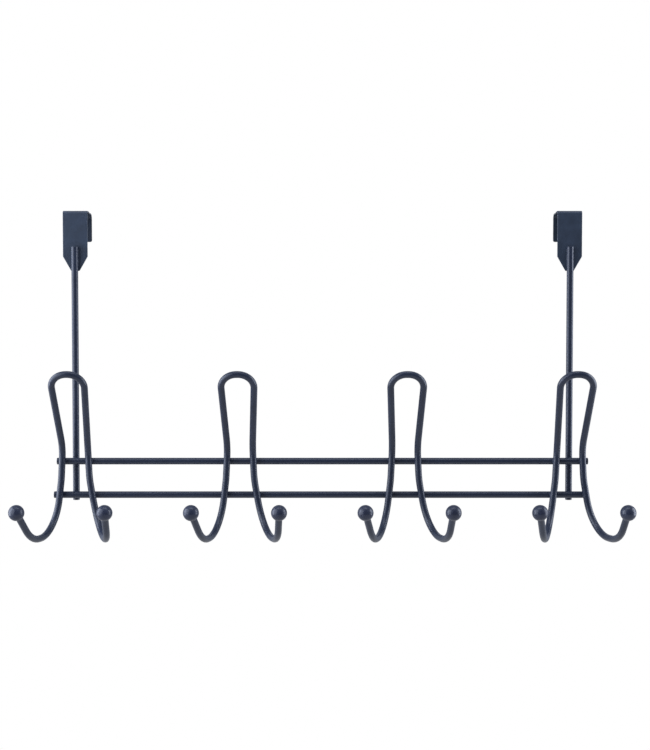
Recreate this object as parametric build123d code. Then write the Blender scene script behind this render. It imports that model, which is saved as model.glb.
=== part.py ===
from build123d import *
import os
from math import radians, tan

# Over-door rack of welded steel wire: two folded strap brackets hang on the top edge of a door,
# two stems hang from them, two rails cross the stems, and four double hooks with ball tips cross
# the rails.
#
# Frame, in millimetres: +X to the right, +Y into the door, +Z up. The origin lies midway between
# the brackets on the top front edge of the door, so the door top is z = 0 and its face is y = 0.

# Wire and welds
wire_diameter = 5.3  # over its coat
weld_sink = 0.4  # how far one wire sinks into another where they cross
plate_sink = 0.3  # how far a stem sinks into its bracket plate
end_round = 0.4  # edge rounding on the cut ends of stems and rails

# Door brackets, folded from flat strap
door_gap = 35.5
strap_thickness = 1.2
fold_radius = 1.3  # inside radius of the front fold
back_fold_radius = 3.6
plate_width = 19.6
plate_height = 46.4  # door top to the blunt point
point_height = 11.4  # tapered stretch at the foot of the plate
point_width = 6.6
point_corner = 1.0
flange_width = 15.0  # the strap narrows towards the back of the door
flange_height = 21.8  # door top to the foot of the back flange
flange_corner = 1.5
shoulder = 4.0  # full width beside each fold before the strap narrows
shoulder_radius = 45.0
strap_edge = 0.4  # rounding of the strap's long edges

# Stems and rails
stem_start = 27.2  # door top to the upper end of a stem
stem_tail = 2.0  # reach of a stem below the lower rail
stem_offset = 1.0  # each stem stands this far outside the middle of its end hook
rail_drop = 197.0  # door top to the axis of the upper rail
rail_spacing = 26.7
rail_overhang = 15.3  # both rails beyond the middle of each end hook
lower_rail_extra = 2.5  # the lower rail reaches this much further on the left

# Hooks: four hairpins in a row. Spreads are between the two legs, heights are measured from the
# upper rail, drops from the lower rail, and reaches forwards from the plane of the welded legs.
# Both legs of each hook lean to the right on the way down, by the shifts at the heel and the toe.
hook_count = 4
hook_pitch = 130.0
loop_spread = 26.4
loop_height = 70.5
loop_reach = 37.4
loop_flat = 1.2  # straight stretch at the very top of the loop
waist_spread = 19.8
waist_height = 11.0
waist_radius = 30.0
flare_spread = 22.2
flare_rise = 12.7  # height of the flare above the lower rail
flare_radius = 90.0
heel_spread = 34.6
heel_drop = 29.9
heel_radius = 28.0
heel_shift = 1.3
toe_spread = 57.4
toe_drop = 29.7
toe_reach = 42.7
toe_radius = 33.1
toe_shift = 2.4
tip_spread = 65.6
tip_drop = 4.7
tip_reach = 66.8
least_straight = 0.4  # straight wire left between two bends

# Balls on the hook tips
ball_diameter = 12.0
socket_floor = 1.5  # distance of the socket's flat floor from the middle of the ball
socket_clearance = 0.05  # between the wire and the wall of its socket

# Places that follow from the sizes above
wire_radius = wire_diameter / 2
deepest_fold = 2 * max(fold_radius, back_fold_radius)  # door top to below both folds
hook_span = (hook_count - 1) * hook_pitch
stem_x = hook_span / 2 + stem_offset
stem_y = -strap_thickness - wire_radius + plate_sink
rail_y = stem_y - wire_diameter + weld_sink
hook_y = rail_y - wire_diameter + weld_sink
upper_rail_z = -rail_drop
lower_rail_z = upper_rail_z - rail_spacing


def straight_wire(start, direction, length):
    """A straight cut wire with rounded ends."""
    rod = Plane(start, z_dir=direction) * Cylinder(
        wire_radius, length, align=(Align.CENTER, Align.CENTER, Align.MIN)
    )
    return fillet(rod.edges().filter_by(GeomType.CIRCLE), end_round)


def bend_radii(points, wanted):
    """The wanted radius at each corner, limited to what the straight runs beside it leave room for."""
    runs = [end - start for start, end in zip(points, points[1:])]
    tangents = [
        radius * tan(radians(before.get_angle(after)) / 2)
        for radius, before, after in zip(wanted, runs, runs[1:])
    ]
    shares = []
    for run, taken_before, taken_after in zip(runs, [0, *tangents], [*tangents, 0]):
        taken = taken_before + taken_after
        shares.append(min(1, (run.length - least_straight) / taken))
    return [radius * min(pair) for radius, pair in zip(wanted, zip(shares, shares[1:]))]


def hook_corners(side):
    """Corners of one leg from the loop to the ball, with side 1 on the right and -1 on the left."""
    heel_x = side * heel_spread / 2 + heel_shift
    toe_x = side * toe_spread / 2 + toe_shift
    return [
        Vector(side * loop_spread / 2, hook_y - loop_reach, upper_rail_z + loop_height),
        Vector(side * waist_spread / 2, hook_y, upper_rail_z + waist_height),
        Vector(side * flare_spread / 2, hook_y, lower_rail_z + flare_rise),
        Vector(heel_x, hook_y, lower_rail_z - heel_drop),
        Vector(toe_x, hook_y - toe_reach, lower_rail_z - toe_drop),
        Vector(side * tip_spread / 2, hook_y - tip_reach, lower_rail_z - tip_drop),
    ]


def socket_plane(side):
    """Plane on the floor of a ball's socket, facing out of its mouth along the wire."""
    toe, tip = hook_corners(side)[-2:]
    mouth = (toe - tip).normalized()
    return Plane(tip + mouth * socket_floor, z_dir=mouth)


def loop_radius():
    """Radius of the two upper bends that leaves the flat at the top of the loop."""
    loop, waist = hook_corners(1)[:2]
    turn = Vector(1, 0, 0).get_angle(waist - loop)
    return (loop_spread - loop_flat) / 2 / tan(radians(turn) / 2)


def hook_wire():
    """One hairpin wire with both legs, bent from a single length."""
    right = [*hook_corners(1)[:-1], socket_plane(1).origin]
    left = [*hook_corners(-1)[:-1], socket_plane(-1).origin]
    points = [*reversed(left), *right]
    leg = [loop_radius(), waist_radius, flare_radius, heel_radius, toe_radius]
    centre_line = FilletPolyline(*points, radius=bend_radii(points, [*reversed(leg), *leg]))
    section = Plane(centre_line @ 0, z_dir=centre_line % 0) * Circle(wire_radius)
    return sweep(section, path=centre_line)


def hook_ball(side):
    """A tip ball with a blind socket for the end of the wire."""
    socket = socket_plane(side) * Cylinder(
        wire_radius + socket_clearance,
        ball_diameter,
        align=(Align.CENTER, Align.CENTER, Align.MIN),
    )
    return Pos(hook_corners(side)[-1]) * Sphere(ball_diameter / 2) - socket


def foot_corners(strap):
    """Edges straight through the strap at the feet of the plate and, last, of the flange."""
    below_folds = strap.edges().filter_by_position(Axis.Z, -plate_height, -deepest_fold)
    return below_folds.filter_by(Axis.Y).sort_by(Axis.Y)


def long_edges(strap):
    """Edges round both faces of the strap, without fold lines and edges through its thickness."""
    outlines = strap.edges().filter_by(lambda edge: abs(edge.length - strap_thickness) > 0.001)
    fold_lines = outlines.filter_by(Axis.X).filter_by_position(
        Axis.Z, -deepest_fold, strap_thickness
    )
    return [edge for edge in outlines if edge not in fold_lines]


def door_bracket():
    """Strap folded over the door: pointed front plate, narrowing top and short back flange."""
    half_plate = plate_width / 2
    half_point = point_width / 2
    half_flange = flange_width / 2
    middle = strap_thickness / 2
    fold_line = FilletPolyline(
        (0, -middle, -plate_height),
        (0, -middle, middle),
        (0, door_gap + middle, middle),
        (0, door_gap + middle, -flange_height),
        radius=(fold_radius + middle, back_fold_radius + middle),
    )
    strip = sweep(Plane(fold_line @ 0) * Rectangle(plate_width, strap_thickness), path=fold_line)

    plan = make_face(
        Polyline(
            (-half_plate, -strap_thickness),
            (half_plate, -strap_thickness),
            (half_plate, fold_radius + shoulder),
            (half_flange, door_gap - back_fold_radius - shoulder),
            (half_flange, door_gap + strap_thickness),
            (-half_flange, door_gap + strap_thickness),
            (-half_flange, door_gap - back_fold_radius - shoulder),
            (-half_plate, fold_radius + shoulder),
            close=True,
        )
    )
    shoulders = plan.vertices().filter_by_position(Axis.Y, 0, door_gap)
    outline = fillet(shoulders, shoulder_radius)
    strap = strip & extrude(outline, plate_height + strap_thickness, both=True)

    corner = Polyline(
        (half_point, -plate_height),
        (half_plate, -plate_height),
        (half_plate, point_height - plate_height),
        close=True,
    )
    offcut = extrude(Plane.XZ * make_face(corner), strap_thickness, both=True)
    strap = strap - offcut - mirror(offcut, about=Plane.YZ)
    strap = fillet(foot_corners(strap)[:-2], point_corner)
    strap = fillet(foot_corners(strap)[-2:], flange_corner)
    return fillet(long_edges(strap), strap_edge)


def rail(z, extra, welded):
    """A straight rail at height z, with a shallow seat pressed in where each welded wire crosses."""
    reach = hook_span / 2 + rail_overhang
    return straight_wire((-reach - extra, rail_y, z), (1, 0, 0), 2 * reach + extra) - welded


stem_length = rail_drop + rail_spacing + wire_radius + stem_tail - stem_start
bracket = door_bracket()
stem = straight_wire((0, stem_y, -stem_start), (0, 0, -1), stem_length) - bracket
hook = hook_wire()
hook_places = [Pos(index * hook_pitch - hook_span / 2, 0, 0) for index in range(hook_count)]

nodes = {}
for side, name in ((-1, "left"), (1, "right")):
    nodes[f"{name}_door_bracket"] = Pos(side * stem_x, 0, 0) * bracket
    nodes[f"{name}_stem"] = Pos(side * stem_x, 0, 0) * stem
for number, place in enumerate(hook_places, start=1):
    nodes[f"hook_{number}"] = place * hook
    nodes[f"hook_{number}_left_ball"] = place * hook_ball(-1)
    nodes[f"hook_{number}_right_ball"] = place * hook_ball(1)

welded_wires = [nodes["left_stem"], nodes["right_stem"], *[place * hook for place in hook_places]]
nodes["upper_rail"] = rail(upper_rail_z, 0, welded_wires)
nodes["lower_rail"] = rail(lower_rail_z, lower_rail_extra, welded_wires)

os.makedirs("parts", exist_ok=True)
for name, solid in nodes.items():
    export_step(solid, f"parts/{name}.step")
    print(name, round(solid.volume, 1), solid.is_valid)
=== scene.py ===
"""Looks of the over-door hook rack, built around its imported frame.

The rack is bent wire and folded strap, welded together and then powder coated as one piece. The
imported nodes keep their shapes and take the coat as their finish. This script adds what welding and
coating leave on the surface: the flash squeezed out between crossing wires, the weld beside each
stem, and the ring of coat where a wire enters its ball. Lengths in the classes' fields are in
millimetres, and go to Blender in metres.
"""

import logging
from collections.abc import Iterable
from dataclasses import dataclass, field
from enum import Enum
from math import radians, sqrt

import bpy
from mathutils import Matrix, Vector

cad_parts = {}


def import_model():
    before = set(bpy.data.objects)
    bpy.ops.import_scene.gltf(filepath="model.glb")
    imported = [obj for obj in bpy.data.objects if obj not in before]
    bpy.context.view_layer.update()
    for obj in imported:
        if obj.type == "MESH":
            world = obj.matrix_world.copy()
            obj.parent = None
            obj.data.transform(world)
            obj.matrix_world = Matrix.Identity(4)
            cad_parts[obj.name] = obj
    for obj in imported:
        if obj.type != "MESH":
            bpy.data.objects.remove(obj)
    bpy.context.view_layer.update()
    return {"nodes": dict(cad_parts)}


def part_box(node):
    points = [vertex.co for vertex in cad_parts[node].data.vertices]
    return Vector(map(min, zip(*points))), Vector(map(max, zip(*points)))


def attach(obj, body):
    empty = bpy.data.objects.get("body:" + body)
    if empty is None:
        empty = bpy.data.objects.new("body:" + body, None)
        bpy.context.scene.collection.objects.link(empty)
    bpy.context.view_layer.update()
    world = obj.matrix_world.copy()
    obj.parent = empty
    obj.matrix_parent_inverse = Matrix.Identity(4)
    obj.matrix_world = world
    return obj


MM = 0.001  # one millimetre in metres
BODY = "root"
PHOTO_WIDTH = 650  # the photograph's frame in pixels
PHOTO_HEIGHT = 750
NOISE_LOW = 0.3  # nearly all values of a noise texture lie between these two
NOISE_HIGH = 0.7
ROUNDING_LEVELS = 1  # of the subdivision surface on each new piece
WHITE = "#ffffff"
WHITE_STRENGTH = 1.0  # light of this strength is white to the camera
LOG = logging.getLogger("over_door_rack")


class Slot(Enum):
    """Material slots of the record, one for each kind of coated piece."""

    STRAP = "coated_strap"
    WIRE = "coated_wire"
    BALL = "coated_ball"


class Side(Enum):
    """The two sides of the rack, of a hook or of a stem, as signs along X."""

    LEFT = -1
    RIGHT = 1

    @property
    def label(self) -> str:
        """The side's name in piece names."""
        return self.name.lower()


class Rail(Enum):
    """The two rails that the hooks are welded to, by their node names."""

    UPPER = "upper_rail"
    LOWER = "lower_rail"

    @property
    def label(self) -> str:
        """The rail's short name in piece names."""
        return self.name.lower()


def linear(code: str) -> tuple[float, float, float, float]:
    """Turns an sRGB hex colour into the linear colour that a shader socket takes.

    Args:
        code: Six hex digits after a hash sign.

    Returns:
        Linear red, green and blue, and an alpha of 1.
    """
    parts = [int(code[at : at + 2], 16) / 255 for at in (1, 3, 5)]
    red, green, blue = [p / 12.92 if p <= 0.04045 else ((p + 0.055) / 1.055) ** 2.4 for p in parts]
    return red, green, blue, 1.0


def metres(*lengths: float) -> Vector:
    """Turns three lengths in millimetres into a vector in metres."""
    return Vector(lengths) * MM


def bare_tree(owner: bpy.types.Material | bpy.types.World) -> bpy.types.NodeTree:
    """Gives a new material or world an empty node tree.

    Args:
        owner: The material or world.

    Returns:
        Its node tree, with no node in it.
    """
    owner.use_nodes = True
    owner.node_tree.nodes.clear()
    return owner.node_tree


def add_node(
    tree: bpy.types.NodeTree,
    kind: str,
    inputs: dict[str | int, object] | None = None,
    **settings: object,
) -> bpy.types.Node:
    """Adds one shader node with its settings, values and links.

    Args:
        tree: The node tree that gets the node.
        kind: Blender's type name of the node.
        inputs: Values or output sockets by input name or number.
        **settings: Properties of the node itself.

    Returns:
        The new node.
    """
    node = tree.nodes.new(kind)
    for name, value in settings.items():
        setattr(node, name, value)
    for name, value in (inputs or {}).items():
        if isinstance(value, bpy.types.NodeSocket):
            tree.links.new(value, node.inputs[name])
        else:
            node.inputs[name].default_value = value
    return node


@dataclass(frozen=True)
class PowderCoat:
    """Polyester powder coat, sprayed as dust on welded steel and melted in an oven.

    It covers everything with one closed, opaque skin. The eye gets a blue-black body colour, broad
    soft highlights with no metal in them, a faint orange peel where the melt flowed, and a slight
    unevenness in depth and gloss where the film is thicker.
    """

    name: str
    body: str = "#242b3c"
    thick: str = "#2b3345"  # where the film is thickest
    roughness: tuple[float, float] = (0.24, 0.33)  # where the film is thickest and thinnest
    ior: float = 1.5  # of polyester
    cloud: float = 22.0  # across a patch of thicker film
    cloud_noise: tuple[float, float] = (3.0, 0.55)  # the noise's detail and roughness
    peel: float = 2.2  # real orange peel is about 1 mm, drawn coarser here so that it shows
    peel_noise: tuple[float, float] = (1.0, 0.4)
    peel_height: float = 0.005
    grain: float = 0.5  # across the finest unevenness
    grain_noise: tuple[float, float] = (2.0, 0.5)
    grain_height: float = 0.001

    def colour(
        self,
        tree: bpy.types.NodeTree,
        place: bpy.types.NodeSocket,
        film: bpy.types.NodeSocket,
    ) -> bpy.types.NodeSocket:
        """Adds the nodes that colour the coat by the thickness of its film.

        Args:
            tree: The coat's node tree.
            place: Object coordinates on the surface; not used here.
            film: Thickness of the film, from 0 to 1.

        Returns:
            The socket that holds the colour.
        """
        return add_node(
            tree,
            "ShaderNodeMix",
            {"Factor": film, 6: linear(self.body), 7: linear(self.thick)},
            data_type="RGBA",
        ).outputs[2]

    def material(self) -> bpy.types.Material:
        """Builds the coat as a node material on Object coordinates.

        Returns:
            The finished material.
        """
        material = bpy.data.materials.new(self.name)
        tree = bare_tree(material)
        place = add_node(tree, "ShaderNodeTexCoord").outputs["Object"]
        scales = (
            (self.cloud, self.cloud_noise),
            (self.peel, self.peel_noise),
            (self.grain, self.grain_noise),
        )
        cloud, peel, grain = [
            add_node(
                tree,
                "ShaderNodeTexNoise",
                {"Vector": place, "Scale": 1 / (size * MM), "Detail": detail, "Roughness": rough},
            ).outputs["Fac"]
            for size, (detail, rough) in scales
        ]
        film = add_node(
            tree,
            "ShaderNodeMapRange",
            {"Value": cloud, "From Min": NOISE_LOW, "From Max": NOISE_HIGH},
        ).outputs["Result"]
        glossy, dull = self.roughness
        gloss = add_node(tree, "ShaderNodeMix", {"Factor": film, 2: dull, 3: glossy}).outputs[0]
        waves = add_node(
            tree,
            "ShaderNodeBump",
            {"Strength": 1.0, "Distance": self.peel_height * MM, "Height": peel},
        ).outputs["Normal"]
        skin = add_node(
            tree,
            "ShaderNodeBump",
            {
                "Strength": 1.0,
                "Distance": self.grain_height * MM,
                "Height": grain,
                "Normal": waves,
            },
        ).outputs["Normal"]
        coat = add_node(
            tree,
            "ShaderNodeBsdfPrincipled",
            {
                "Base Color": self.colour(tree, place, film),
                "Roughness": gloss,
                "IOR": self.ior,
                "Normal": skin,
            },
        ).outputs["BSDF"]
        add_node(tree, "ShaderNodeOutputMaterial", {"Surface": coat})
        return material


@dataclass(frozen=True)
class ShadedFoldCoat(PowderCoat):
    """The coat on folded strap, with painted shade that darkens its colour with depth behind the
    door's face, inside the fold.
    """

    inside: float = 0.55  # share of the colour left where the painted shade is darkest, inside the fold
    reach: tuple[float, float] = (1.0, 10.0)  # depth behind the door's face over which the painted shade goes from none to full

    def colour(
        self,
        tree: bpy.types.NodeTree,
        place: bpy.types.NodeSocket,
        film: bpy.types.NodeSocket,
    ) -> bpy.types.NodeSocket:
        """Adds the coat's colour nodes, and darkens them with depth behind the face of the door as
        painted shade.

        Args:
            tree: The coat's node tree.
            place: Object coordinates on the surface.
            film: Thickness of the film, from 0 to 1.

        Returns:
            The socket that holds the colour.
        """
        near, far = self.reach
        # Painted shade: the colour is scaled down with depth behind the door's face, towards the
        # back of the fold.
        depth = add_node(tree, "ShaderNodeSeparateXYZ", {"Vector": place}).outputs["Y"]
        share = add_node(
            tree,
            "ShaderNodeMapRange",
            {
                "Value": depth,
                "From Min": near * MM,
                "From Max": far * MM,
                "To Min": 1.0,
                "To Max": self.inside,
            },
        ).outputs["Result"]
        outer = super().colour(tree, place, film)
        return add_node(
            tree, "ShaderNodeVectorMath", {"Vector": outer, "Scale": share}, operation="SCALE"
        ).outputs["Vector"]


@dataclass
class Finishes:
    """The coat on each kind of piece: one powder, with its own flow on each; its colour is painted
    lighter on the strap and a little lighter on the balls than on the wire, as painted light.
    """

    strap: PowderCoat = ShadedFoldCoat(
        name="satin_powder_coat_on_strap",
        # The strap's colours are lighter than the wire's: painted light for the light the flat
        # plates catch.
        body="#2f3948",
        thick="#3b4657",
        roughness=(0.32, 0.40),
        cloud=9.0,
        peel=2.6,
    )
    wire: PowderCoat = PowderCoat(name="satin_powder_coat_on_wire")
    ball: PowderCoat = PowderCoat(
        name="satin_powder_coat_on_balls",
        # The balls' colours are a little lighter than the wire's: painted light.
        body="#2a2f41",
        thick="#31374a",
        roughness=(0.24, 0.32),
        cloud=9.0,
        peel=1.8,
    )
    materials: dict[Slot, bpy.types.Material] = field(default_factory=dict)

    def build(self) -> None:
        """Builds the three materials."""
        self.materials = {
            Slot.STRAP: self.strap.material(),
            Slot.WIRE: self.wire.material(),
            Slot.BALL: self.ball.material(),
        }

    def dress(self, piece: bpy.types.Object, slot: Slot) -> None:
        """Gives a piece its coat in every material slot.

        Args:
            piece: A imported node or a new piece.
            slot: The kind of coated piece that it is.
        """
        material = self.materials[slot]
        if not piece.material_slots:
            piece.data.materials.append(material)
        for entry in piece.material_slots:
            entry.material = material


@dataclass
class Rack:
    """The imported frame: its nodes, and the places that are read from them."""

    nodes: dict[str, bpy.types.Object]
    hook_count: int = 4
    socket_share: float = 0.8  # points within this share of a ball's radius are socket floor

    @property
    def wire_radius(self) -> float:
        """Radius of the wire in metres, from the thickness of a rail."""
        low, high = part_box(Rail.UPPER.value)
        return (high[2] - low[2]) / 2

    def middle(self, node: str) -> Vector:
        """The middle of a node's box, in metres."""
        low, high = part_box(node)
        return (Vector(low) + Vector(high)) / 2

    def hooks(self) -> list[str]:
        """The node names of the hooks, from left to right."""
        return [f"hook_{number}" for number in range(1, self.hook_count + 1)]

    def hook_plane(self, hook: str) -> float:
        """Depth of the plane in which a hook's legs are welded, in metres."""
        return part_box(hook)[1][1] - self.wire_radius

    def leg(self, hook: str, side: Side, height: float) -> float:
        """Finds where the axis of a leg crosses a height, by a ray from the middle of the hook.

        Args:
            hook: The hook's node name.
            side: Which of its two legs.
            height: The height, in metres.

        Returns:
            The leg's place along X, in metres.
        """
        start = Vector((self.middle(hook).x, self.hook_plane(hook), height))
        found, point, _, _ = self.nodes[hook].ray_cast(start, Vector((side.value, 0, 0)))
        if not found:
            raise RuntimeError(f"no leg of {hook} on the {side.label} at {height:.4f} m")
        return point.x + side.value * self.wire_radius

    def mouth(self, ball: str) -> Vector:
        """Direction in which the socket of a ball opens, from the corners of its socket's floor.

        Args:
            ball: The ball's node name.

        Returns:
            A unit vector from the middle of the ball to the mouth of its socket.
        """
        low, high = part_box(ball)
        radius = (high[2] - low[2]) / 2
        centre = self.middle(ball)
        arms = [vertex.co - centre for vertex in self.nodes[ball].data.vertices]
        inner = [arm for arm in arms if arm.length < self.socket_share * radius]
        return (sum(inner, Vector()) / len(inner)).normalized()

    def dress(self, finishes: Finishes) -> None:
        """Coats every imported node.

        Args:
            finishes: The coats for strap, wire and balls.
        """
        for name, node in self.nodes.items():
            slot = Slot.WIRE
            if name.endswith("_ball"):
                slot = Slot.BALL
            elif name.endswith("_bracket"):
                slot = Slot.STRAP
            finishes.dress(node, slot)
            LOG.info("%s dressed as %s", name, slot.value)


def start_piece(name: str) -> bpy.types.Object:
    """Names the primitive that was just added and opens it in edit mode.

    Args:
        name: The piece's name.

    Returns:
        The active object, in edit mode with everything selected.
    """
    piece = bpy.context.object
    piece.name = name
    piece.data.name = name
    bpy.ops.object.mode_set(mode="EDIT")
    bpy.ops.mesh.select_all(action="SELECT")
    return piece


def select_open_edges() -> None:
    """Selects the open edges of the piece in edit mode, and nothing else."""
    bpy.ops.mesh.select_all(action="DESELECT")
    bpy.ops.mesh.select_mode(type="EDGE")
    bpy.ops.mesh.select_non_manifold(
        extend=False,
        use_wire=False,
        use_boundary=True,
        use_multi_face=False,
        use_non_contiguous=False,
        use_verts=False,
    )


def close_piece(piece: bpy.types.Object) -> None:
    """Leaves edit mode, rounds a piece with an applied subdivision surface and shades it smooth.

    Args:
        piece: The active object, in edit mode.
    """
    bpy.ops.mesh.select_all(action="SELECT")
    bpy.ops.mesh.normals_make_consistent(inside=False)
    bpy.ops.object.mode_set(mode="OBJECT")
    rounding = piece.modifiers.new("rounding", "SUBSURF")
    rounding.levels = ROUNDING_LEVELS
    rounding.render_levels = ROUNDING_LEVELS
    bpy.ops.object.modifier_apply(modifier=rounding.name)
    bpy.ops.object.shade_smooth()


def copy_to(
    pattern: bpy.types.Object, name: str, place: Vector, axis: Vector | None = None
) -> bpy.types.Object:
    """Copies a modelled piece with its own mesh and puts the copy's place into that mesh.

    Args:
        pattern: The piece that was modelled once, around the origin.
        name: The copy's name.
        place: Where the pattern's origin goes, in metres.
        axis: Where the pattern's Z axis points on the copy, if it is turned.

    Returns:
        The copy, sitting at the origin with its place in its mesh.
    """
    bpy.ops.object.select_all(action="DESELECT")
    pattern.select_set(True)
    bpy.context.view_layer.objects.active = pattern
    bpy.ops.object.duplicate(linked=False)
    copy = bpy.context.object
    copy.name = name
    copy.data.name = name
    copy.location = place
    if axis is not None:
        copy.rotation_euler = axis.to_track_quat("Z", "Y").to_euler()
    bpy.ops.object.transform_apply(location=True, rotation=True, scale=True)
    return copy


def hand_over(piece: bpy.types.Object, slot: Slot, finishes: Finishes) -> None:
    """Coats a finished piece, lets it ride on the rack and reports it.

    Args:
        piece: The new piece.
        slot: The record's slot that it takes its finish from.
        finishes: The coats.
    """
    finishes.dress(piece, slot)
    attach(piece, BODY)
    LOG.info("%s has %d faces", piece.name, len(piece.data.polygons))


def drop(pattern: bpy.types.Object) -> None:
    """Removes a pattern once all its copies are made."""
    bpy.data.meshes.remove(pattern.data)


@dataclass
class CrossingFlash:
    """Metal squeezed out between two wires where resistance welding pressed them together."""

    rack: Rack
    finishes: Finishes
    width: float = 6.1
    depth: float = 3.2
    roundness: float = 0.8  # from 0, square, to 1, round
    cuts: int = 3

    def pattern(self) -> bpy.types.Object:
        """Models one cushion of flash around the origin, thin along Y.

        Returns:
            The pattern, to be copied to each crossing.
        """
        bpy.ops.object.select_all(action="DESELECT")
        bpy.ops.mesh.primitive_cube_add(size=1.0, scale=metres(self.width, self.depth, self.width))
        bpy.ops.object.transform_apply(scale=True)
        piece = start_piece("flash_pattern")
        bpy.ops.mesh.subdivide(number_cuts=self.cuts)
        bpy.ops.object.mode_set(mode="OBJECT")
        swell = piece.modifiers.new("swell", "CAST")
        swell.factor = self.roundness
        swell.use_radius_as_size = False
        swell.size = self.width * MM / 2
        swell.use_y = False
        bpy.ops.object.modifier_apply(modifier=swell.name)
        bpy.ops.object.mode_set(mode="EDIT")
        close_piece(piece)
        return piece

    def build(self) -> None:
        """Copies the flash to every crossing of a rail with a hook's legs and with the stems."""
        pattern = self.pattern()
        for rail in Rail:
            centre = self.rack.middle(rail.value)
            for hook in self.rack.hooks():
                contact = (centre.y + self.rack.hook_plane(hook)) / 2
                for side in Side:
                    place = Vector((self.rack.leg(hook, side, centre.z), contact, centre.z))
                    piece = copy_to(pattern, f"{hook}_{side.label}_flash_{rail.label}", place)
                    hand_over(piece, Slot.WIRE, self.finishes)
            for side in Side:
                stem = self.rack.middle(f"{side.label}_stem")
                place = Vector((stem.x, (centre.y + stem.y) / 2, centre.z))
                piece = copy_to(pattern, f"{side.label}_stem_flash_{rail.label}", place)
                hand_over(piece, Slot.WIRE, self.finishes)
        drop(pattern)


@dataclass
class PlateWeld:
    """The two runs of weld that hold a stem on its plate, in the crevices beside the wire."""

    rack: Rack
    finishes: Finishes
    radius: float = 0.7
    pitch: float = 1.6  # from one ripple to the next
    ripples: int = 9
    pinch: float = 0.58  # share of the radius between two ripples
    end: float = 0.5  # share of the radius at both ends
    cap: float = 0.4  # inset of an end's face, as a share of its radius
    start: float = 1.4  # below the upper end of the stem
    off_wire: float = 0.45  # from the wire's flank to the run's axis, as a share of the radius
    off_plate: float = 0.35  # the same from the plate
    corners: int = 10

    def rings(self) -> list[float]:
        """Radii of the run's rings from its upper to its lower end, in millimetres."""
        waves = [self.pinch if half % 2 else 1.0 for half in range(2 * self.ripples - 1)]
        return [self.radius * share for share in (self.end, *waves, self.end)]

    def pattern(self) -> bpy.types.Object:
        """Models one run of weld down from the origin, pinched between its ripples.

        Returns:
            The pattern, to be copied to both sides of each stem.
        """
        rings = self.rings()
        cap = rings[0] * self.cap * MM
        step = (0.0, 0.0, -self.pitch / 2 * MM)
        bpy.ops.object.select_all(action="DESELECT")
        bpy.ops.mesh.primitive_circle_add(
            vertices=self.corners, radius=rings[0] * MM, fill_type="NGON"
        )
        piece = start_piece("plate_weld_pattern")
        bpy.ops.mesh.inset(thickness=cap)
        select_open_edges()
        for above, ring in zip(rings, rings[1:]):
            bpy.ops.mesh.extrude_region_move(TRANSFORM_OT_translate={"value": step})
            bpy.ops.transform.resize(value=(ring / above, ring / above, 1.0))
        bpy.ops.mesh.edge_face_add()
        bpy.ops.mesh.inset(thickness=cap)
        close_piece(piece)
        return piece

    def build(self) -> None:
        """Copies the run of weld to both sides of both stems."""
        pattern = self.pattern()
        bead = self.radius * MM
        for stem_side in Side:
            stem = f"{stem_side.label}_stem"
            middle = self.rack.middle(stem)
            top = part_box(stem)[1][2] - self.start * MM
            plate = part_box(f"{stem_side.label}_door_bracket")[0][1]
            # The run's axis stands out from both the plate and the wire by less than its radius,
            # so the run sinks into both.
            depth = plate - self.off_plate * bead
            span = self.rack.wire_radius + self.off_wire * bead
            reach = sqrt(span**2 - (depth - middle.y) ** 2)
            for side in Side:
                place = Vector((middle.x + side.value * reach, depth, top))
                piece = copy_to(pattern, f"{stem}_plate_weld_{side.label}", place)
                hand_over(piece, Slot.WIRE, self.finishes)
        drop(pattern)


@dataclass
class SocketRing:
    """The small fillet of molten coat that fills the corner between a wire and its ball."""

    rack: Rack
    finishes: Finishes
    corners: int = 40
    # Radius and distance from the middle of the ball at each corner of the ring's section, which
    # starts inside the wire and ends inside the ball.
    profile: tuple[tuple[float, float], ...] = (
        (2.45, 6.75),
        (2.68, 6.65),
        (2.73, 6.12),
        (2.93, 5.60),
        (3.34, 5.18),
        (3.85, 4.52),
        (2.45, 4.45),
    )

    def pattern(self) -> bpy.types.Object:
        """Models one ring around Z, with the middle of the ball at the origin.

        Returns:
            The pattern, to be copied to each ball.
        """
        radius, height = self.profile[0]
        bpy.ops.object.select_all(action="DESELECT")
        bpy.ops.mesh.primitive_circle_add(
            vertices=self.corners, radius=radius * MM, location=(0.0, 0.0, height * MM)
        )
        bpy.ops.object.transform_apply(location=True)
        piece = start_piece("socket_ring_pattern")
        for wide, high in self.profile[1:]:
            move = (0.0, 0.0, (high - height) * MM)
            bpy.ops.mesh.extrude_region_move(TRANSFORM_OT_translate={"value": move})
            bpy.ops.transform.resize(value=(wide / radius, wide / radius, 1.0))
            radius, height = wide, high
        select_open_edges()
        bpy.ops.mesh.bridge_edge_loops()
        close_piece(piece)
        return piece

    def build(self) -> None:
        """Copies the ring to every ball, along the mouth of its socket."""
        pattern = self.pattern()
        for hook in self.rack.hooks():
            for side in Side:
                ball = f"{hook}_{side.label}_ball"
                place = self.rack.middle(ball)
                piece = copy_to(pattern, f"{ball}_ring", place, self.rack.mouth(ball))
                hand_over(piece, Slot.BALL, self.finishes)
        drop(pattern)


@dataclass(frozen=True)
class Softbox:
    """A flat studio lamp with a diffuser."""

    name: str
    place: tuple[float, float, float]
    width: float
    height: float
    watts: float
    target: tuple[float, float, float] = (0, 0, -120)  # near the middle of the rack

    def build(self, hue: str) -> bpy.types.Object:
        """Adds the lamp and aims it.

        Args:
            hue: The sRGB hex colour of its light.

        Returns:
            The lamp's object.
        """
        place = metres(*self.place)
        aim = metres(*self.target) - place
        turn = aim.to_track_quat("-Z", "Y").to_euler()
        bpy.ops.object.light_add(type="AREA", location=place, rotation=turn)
        lamp = bpy.context.object
        lamp.name = self.name
        lamp.data.shape = "RECTANGLE"
        lamp.data.size = self.width * MM
        lamp.data.size_y = self.height * MM
        lamp.data.energy = self.watts
        lamp.data.color = linear(hue)[:3]
        return lamp


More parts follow.
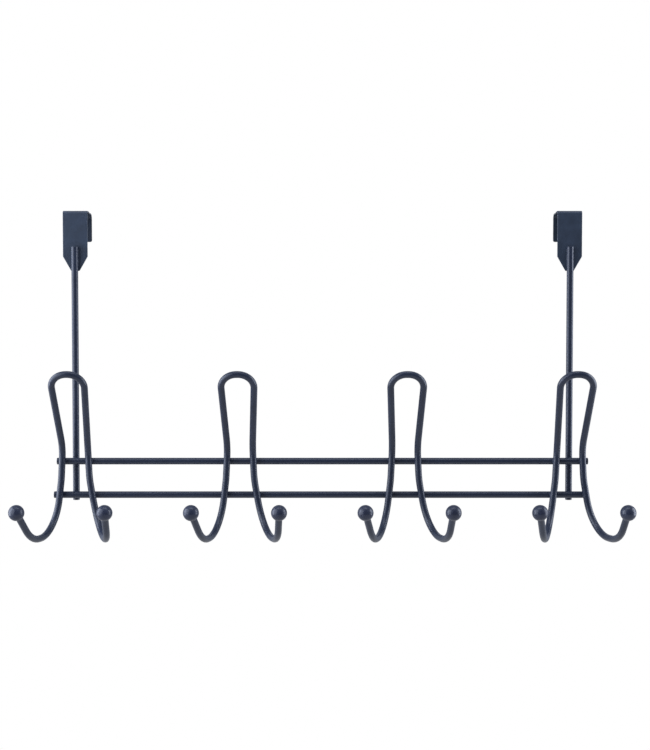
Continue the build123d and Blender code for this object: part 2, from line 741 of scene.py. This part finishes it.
@dataclass
class Studio:
    """White surround, pale floor, soft lamps and the camera at the photograph's viewpoint."""

    floor_height: float = -2000.0
    floor_size: float = 9000.0
    floor_paint: str = "#f4f4f4"
    floor_shown: float = 0.97  # share of white glow to the camera, the rest is paint with shadow
    floor_fade: tuple[float, float] = (600.0, 4200.0)  # distance over which the paint fades
    floor_mirrored: float = 0.45  # share of white glow in reflections
    daylight: str = "#e2eafa"
    fill: float = 0.48  # strength of the surround as light on the rack
    surround: float = 0.5  # strength of the surround in reflections
    room: float = 0.14  # the same behind the camera
    room_edge: tuple[float, float] = (-0.9, -0.3)  # Y of a direction, from dim to light
    camera_place: tuple[float, float, float] = (2.02, -1158.0, -78.5)
    camera_dip: float = 2.5  # degrees below level
    focal_pixels: float = 1455.5
    film: float = 36.0  # along the longer side of the frame
    lamps: tuple[Softbox, ...] = (
        Softbox(
            name="key_softbox",
            place=(-760, -460, 80),
            width=800,
            height=1100,
            watts=6.4,
            target=(-100, 0, -120),
        ),
        Softbox(name="left_strip", place=(-850, 20, -60), width=500, height=900, watts=6.7),
        Softbox(name="right_strip", place=(850, 20, -60), width=500, height=900, watts=6.7),
        Softbox(name="top_softbox", place=(0, -250, 800), width=900, height=350, watts=2.4),
    )

    def world(self) -> None:
        """Builds a surround that is white to the camera and daylight to everything else."""
        surround = bpy.data.worlds.new("white_surround")
        bpy.context.scene.world = surround
        tree = bare_tree(surround)
        light = add_node(tree, "ShaderNodeLightPath").outputs
        way = add_node(tree, "ShaderNodeTexCoord").outputs["Generated"]
        depth = add_node(tree, "ShaderNodeSeparateXYZ", {"Vector": way}).outputs["Y"]
        # The dim room behind the camera is what keeps the fronts of glossy wires dark.
        dim, bright = self.room_edge
        shown = add_node(
            tree,
            "ShaderNodeMapRange",
            {
                "Value": depth,
                "From Min": dim,
                "From Max": bright,
                "To Min": self.room,
                "To Max": self.surround,
            },
            interpolation_type="SMOOTHSTEP",
        ).outputs["Result"]
        mirrored = add_node(
            tree,
            "ShaderNodeMath",
            {0: light["Is Glossy Ray"], 1: light["Is Transmission Ray"]},
            operation="MAXIMUM",
        ).outputs[0]
        lit = add_node(
            tree, "ShaderNodeMix", {"Factor": mirrored, 2: self.fill, 3: shown}
        ).outputs[0]
        strength = add_node(
            tree, "ShaderNodeMix", {"Factor": light["Is Camera Ray"], 2: lit, 3: WHITE_STRENGTH}
        ).outputs[0]
        hue = add_node(
            tree,
            "ShaderNodeMix",
            {"Factor": light["Is Camera Ray"], 6: linear(self.daylight), 7: linear(WHITE)},
            data_type="RGBA",
        ).outputs[2]
        glow = add_node(tree, "ShaderNodeBackground", {"Color": hue, "Strength": strength})
        add_node(tree, "ShaderNodeOutputWorld", {"Surface": glow.outputs["Background"]})

    def floor(self) -> None:
        """Lays a matt white floor that joins the white surround and keeps a trace of shadow."""
        bpy.ops.object.select_all(action="DESELECT")
        bpy.ops.mesh.primitive_plane_add(
            size=self.floor_size * MM, location=(0.0, 0.0, self.floor_height * MM)
        )
        floor = bpy.context.object
        floor.name = "floor"
        material = bpy.data.materials.new("matt_white_floor")
        tree = bare_tree(material)
        light = add_node(tree, "ShaderNodeLightPath").outputs
        place = add_node(tree, "ShaderNodeTexCoord").outputs["Object"]
        away = add_node(tree, "ShaderNodeVectorMath", {0: place}, operation="LENGTH")
        near, far = self.floor_fade
        faded = add_node(
            tree,
            "ShaderNodeMapRange",
            {
                "Value": away.outputs["Value"],
                "From Min": near * MM,
                "From Max": far * MM,
                "To Min": self.floor_shown,
                "To Max": 1.0,
            },
            interpolation_type="SMOOTHSTEP",
        ).outputs["Result"]
        shown = add_node(
            tree, "ShaderNodeMath", {0: light["Is Camera Ray"], 1: faded}, operation="MULTIPLY"
        ).outputs[0]
        share = add_node(
            tree,
            "ShaderNodeMath",
            {0: light["Is Glossy Ray"], 1: self.floor_mirrored, 2: shown},
            operation="MULTIPLY_ADD",
        ).outputs[0]
        paint = add_node(tree, "ShaderNodeBsdfDiffuse", {"Color": linear(self.floor_paint)})
        glow = add_node(
            tree, "ShaderNodeEmission", {"Color": linear(WHITE), "Strength": WHITE_STRENGTH}
        )
        surface = add_node(
            tree,
            "ShaderNodeMixShader",
            {0: share, 1: paint.outputs["BSDF"], 2: glow.outputs["Emission"]},
        )
        add_node(tree, "ShaderNodeOutputMaterial", {"Surface": surface.outputs["Shader"]})
        floor.data.materials.append(material)

    def camera(self) -> None:
        """Adds the camera where the photograph was taken from."""
        bpy.ops.object.camera_add(
            location=metres(*self.camera_place), rotation=(radians(90 - self.camera_dip), 0.0, 0.0)
        )
        camera = bpy.context.object
        camera.name = "photo_camera"
        camera.data.sensor_width = self.film
        camera.data.lens = self.focal_pixels * self.film / max(PHOTO_WIDTH, PHOTO_HEIGHT)
        camera.data.dof.use_dof = False
        bpy.context.scene.camera = camera

    def build(self) -> None:
        """Builds the surround, the floor, the lamps and the camera."""
        bpy.context.scene.view_settings.view_transform = "Standard"
        self.world()
        self.floor()
        for lamp in self.lamps:
            lamp.build(self.daylight)
            LOG.info("%s at %.1f W", lamp.name, lamp.watts)
        self.camera()


def main() -> None:
    """Loads the frame, dresses it, adds the welds and rings, and sets up the studio."""
    logging.basicConfig(level=logging.INFO, format="%(name)s: %(message)s")
    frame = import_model()
    rack = Rack(frame["nodes"])
    finishes = Finishes()
    finishes.build()
    rack.dress(finishes)
    CrossingFlash(rack, finishes).build()
    PlateWeld(rack, finishes).build()
    SocketRing(rack, finishes).build()
    Studio().build()


if __name__ == "__main__":
    main()
